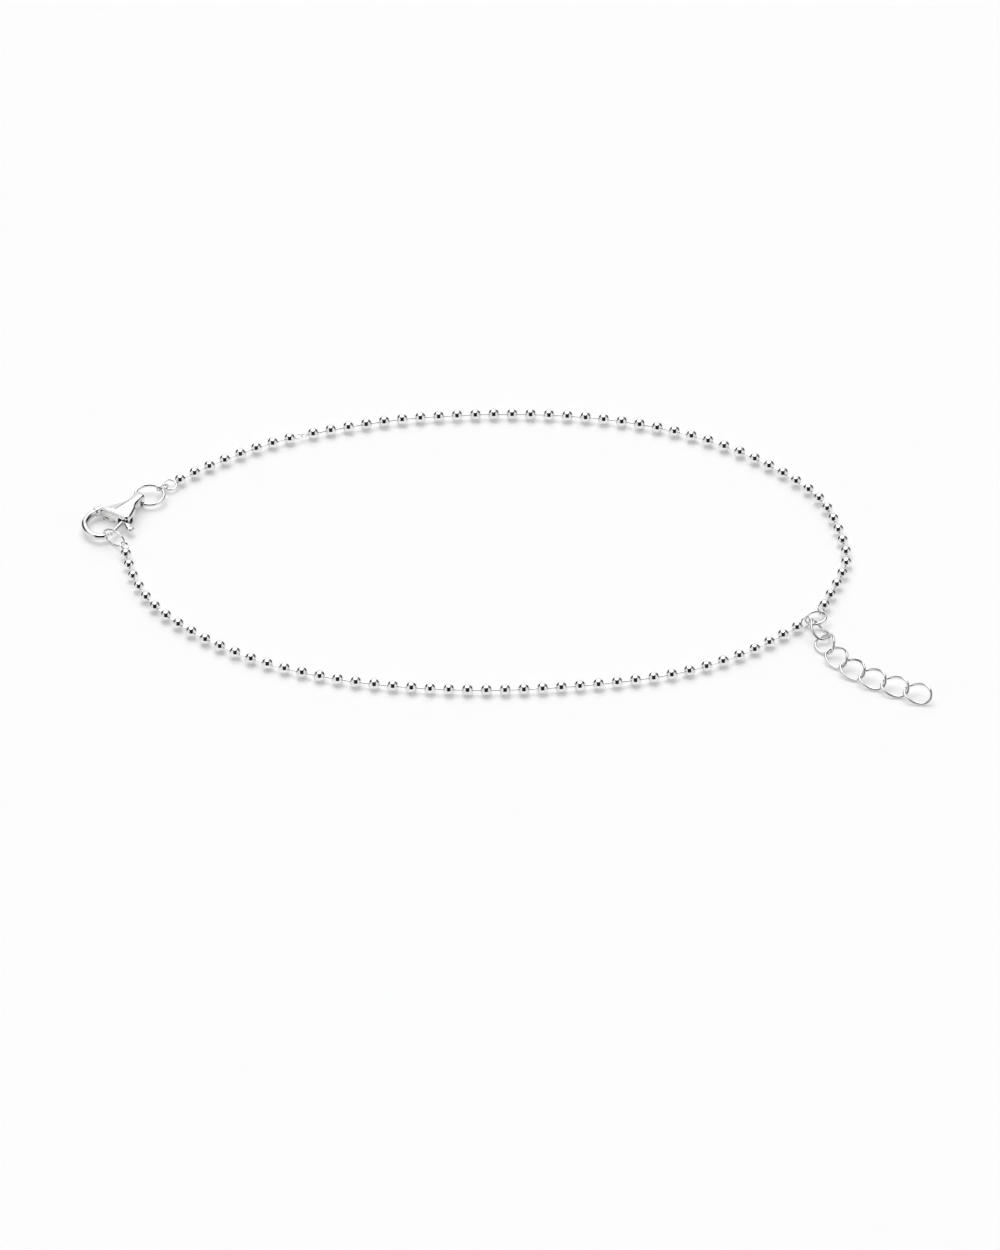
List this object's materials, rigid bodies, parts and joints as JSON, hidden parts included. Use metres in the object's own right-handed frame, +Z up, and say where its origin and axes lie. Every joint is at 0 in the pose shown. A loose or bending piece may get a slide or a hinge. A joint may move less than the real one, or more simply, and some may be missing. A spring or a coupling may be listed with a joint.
{
  "type": "ball chain bracelet",
  "caption": "Fine silver ball chain bracelet lying closed in a loop, with a lobster clasp and a short extension chain of twisted links.",
  "frame": {"origin": "middle of the base of the bounding box, on the surface that the bracelet lies on", "axes": "+Z up from the surface, +X from the clasp towards the extension chain, -Y towards the viewer"},
  "size_m": [0.0846, 0.0484, 0.002],
  "materials": {
    "clasp_silver": "polished cast silver",
    "bead_silver": "mirror polished silver beads",
    "ring_silver": "polished silver wire"
  },
  "bodies": {
    "bracelet": {"clasp_body": "clasp_silver", "clasp_jump_ring": "ring_silver", "connector_link": "ring_silver", "upper_strand": "bead_silver", "lower_strand": "bead_silver", "hook_ring": "ring_silver", "extender_ring": "ring_silver", "extension_link_1": "ring_silver", "extension_link_2": "ring_silver", "extension_link_3": "ring_silver", "extension_link_4": "ring_silver", "extension_link_5": "ring_silver", "extension_link_6": "ring_silver", "extension_link_7": "ring_silver"},
    "lever": {"clasp_lever": "clasp_silver"}
  },
  "joints": [
    {"name": "lever_hinge", "type": "hinge", "parent": "bracelet", "child": "lever", "pos_m": [-0.03788, 0.0056, 0.00075], "axis": [0, 0, -1], "range_deg": [0, 22], "stiffness_Nm_per_rad": 0.00001}
  ]
}
